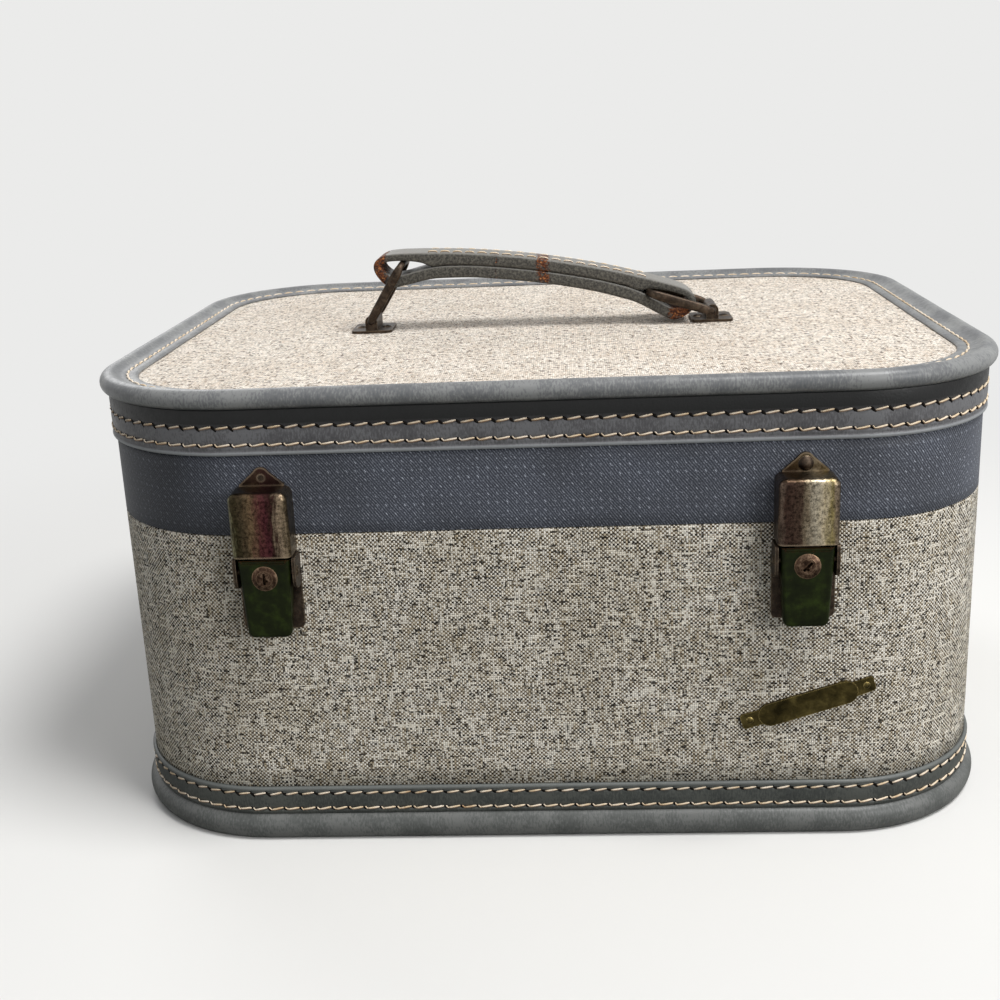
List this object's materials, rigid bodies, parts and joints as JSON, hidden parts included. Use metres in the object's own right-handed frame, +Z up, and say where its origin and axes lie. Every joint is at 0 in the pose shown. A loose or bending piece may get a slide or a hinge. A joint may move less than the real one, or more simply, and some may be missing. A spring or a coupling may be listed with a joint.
{
  "type": "vanity case",
  "caption": "Hard-sided vanity case in tweed cloth and grey vinyl trim, with a hinged mirrored lid, rocker latches with key locks and a looped leather handle.",
  "frame": {"origin": "on the ground, under the middle of the closed case with its latches and hinges", "axes": "+X to the case's left-to-right width seen from the front, -Y out of the front with the latches, +Z up"},
  "size_m": [0.3482, 0.2915, 0.2112],
  "materials": {
    "tweed_cloth": "woven tweed cloth, coated",
    "blue_grey_cloth": "figured coated cloth band",
    "grey_vinyl": "grained vinyl over cord and card, stitched",
    "plywood": "bent plywood",
    "lining_cloth": "satin lining",
    "mirror_glass": "silvered glass",
    "tarnished_nickel": "tarnished nickel plate",
    "green_enamel": "dark olive enamel, worn",
    "lock_brass": "worn nickel over brass",
    "aged_brass": "aged brass",
    "bronzed_steel": "bronzed steel, worn",
    "handle_leather": "grey-green leather, worn through at the bends"
  },
  "bodies": {
    "base": {"base_shell": "plywood", "base_covering": "tweed_cloth", "base_binding": "grey_vinyl", "base_welt": "grey_vinyl", "bottom_panel": "grey_vinyl", "base_lining": "lining_cloth", "locating_lip": "lining_cloth", "rear_pocket": "lining_cloth", "nameplate": "aged_brass", "nameplate_pins": "aged_brass", "left_latch_plate": "bronzed_steel", "right_latch_plate": "bronzed_steel", "left_rocker_stubs": "bronzed_steel", "right_rocker_stubs": "bronzed_steel", "left_plate_rivets": "bronzed_steel", "right_plate_rivets": "bronzed_steel", "left_hinge_base_leaf": "tarnished_nickel", "right_hinge_base_leaf": "tarnished_nickel", "left_hinge_pin": "bronzed_steel", "right_hinge_pin": "bronzed_steel", "hinge_base_rivets": "bronzed_steel", "left_stay_stud": "tarnished_nickel", "right_stay_stud": "tarnished_nickel"},
    "lid": {"lid_shell": "plywood", "lid_top_covering": "tweed_cloth", "lid_side_covering": "blue_grey_cloth", "lid_binding": "grey_vinyl", "lid_welt": "grey_vinyl", "lid_lining": "lining_cloth", "mirror_frame": "grey_vinyl", "mirror": "mirror_glass", "left_hood": "tarnished_nickel", "right_hood": "tarnished_nickel", "left_keeper": "bronzed_steel", "right_keeper": "bronzed_steel", "left_hood_rivet": "bronzed_steel", "right_hood_rivet": "bronzed_steel", "left_hinge_lid_leaf": "tarnished_nickel", "right_hinge_lid_leaf": "tarnished_nickel", "hinge_lid_rivets": "bronzed_steel", "left_stay_pivot": "tarnished_nickel", "right_stay_pivot": "tarnished_nickel", "left_handle_mount": "bronzed_steel", "right_handle_mount": "bronzed_steel", "handle_mount_rivets": "bronzed_steel"},
    "left_bail": {"left_bail": "bronzed_steel"},
    "right_bail": {"right_bail": "bronzed_steel"},
    "handle": {"handle_strap": "handle_leather"},
    "left_rocker": {"left_rocker": "green_enamel", "left_catch": "bronzed_steel", "left_lock_barrel": "lock_brass"},
    "right_rocker": {"right_rocker": "green_enamel", "right_catch": "bronzed_steel", "right_lock_barrel": "lock_brass"},
    "left_plug": {"left_key_plug": "lock_brass"},
    "right_plug": {"right_key_plug": "lock_brass"},
    "left_stay": {"left_stay_arm": "tarnished_nickel"},
    "right_stay": {"right_stay_arm": "tarnished_nickel"}
  },
  "joints": [
    {"name": "lid_hinge", "type": "hinge", "parent": "base", "child": "lid", "pos_m": [0, 0.14305, 0.12485], "axis": [-1, 0, 0], "range_deg": [0, 95]},
    {"name": "left_stay_pivot", "type": "hinge", "parent": "lid", "child": "left_stay", "pos_m": [-0.1561, 0.08471, 0.13885], "axis": [1, 0, 0], "range_deg": [0, 47.5]},
    {"name": "right_stay_pivot", "type": "hinge", "parent": "lid", "child": "right_stay", "pos_m": [0.1561, 0.08471, 0.13885], "axis": [1, 0, 0], "range_deg": [0, 47.5]},
    {"name": "left_bail_swing", "type": "hinge", "parent": "lid", "child": "left_bail", "pos_m": [-0.077, 0.00325, 0.1815], "axis": [0, 1, 0], "range_deg": [0, 40.2]},
    {"name": "handle_swing", "type": "hinge", "parent": "left_bail", "child": "handle", "pos_m": [-0.06161, 0.00325, 0.20632], "axis": [0, 1, 0], "range_deg": [-59.5, 0]},
    {"name": "right_bail_swing", "type": "hinge", "parent": "lid", "child": "right_bail", "pos_m": [0.074, 0.00325, 0.1815], "axis": [0, 1, 0], "range_deg": [0, 53.9]},
    {"name": "left_rocker_tilt", "type": "hinge", "parent": "base", "child": "left_rocker", "pos_m": [-0.1013, -0.14025, 0.113], "axis": [-1, 0, 0], "range_deg": [0, 22], "stiffness_Nm_per_rad": 0.03, "springref_deg": -11.46},
    {"name": "left_key_turn", "type": "hinge", "parent": "left_rocker", "child": "left_plug", "pos_m": [-0.1013, -0.14175, 0.1114], "axis": [0, 1, 0], "range_deg": [0, 90]},
    {"name": "right_rocker_tilt", "type": "hinge", "parent": "base", "child": "right_rocker", "pos_m": [0.0941, -0.14025, 0.113], "axis": [-1, 0, 0], "range_deg": [0, 22], "stiffness_Nm_per_rad": 0.03, "springref_deg": -11.46},
    {"name": "right_key_turn", "type": "hinge", "parent": "right_rocker", "child": "right_plug", "pos_m": [0.0941, -0.14175, 0.1114], "axis": [0, 1, 0], "range_deg": [-45, 45]}
  ],
  "couplings": [
    {"joint": "left_stay_pivot", "follows": "lid_hinge", "ratio": 0.5},
    {"joint": "right_stay_pivot", "follows": "lid_hinge", "ratio": 0.5},
    {"joint": "handle_swing", "follows": "left_bail_swing", "ratio": -1.48},
    {"joint": "right_bail_swing", "follows": "left_bail_swing", "ratio": 1.34}
  ]
}
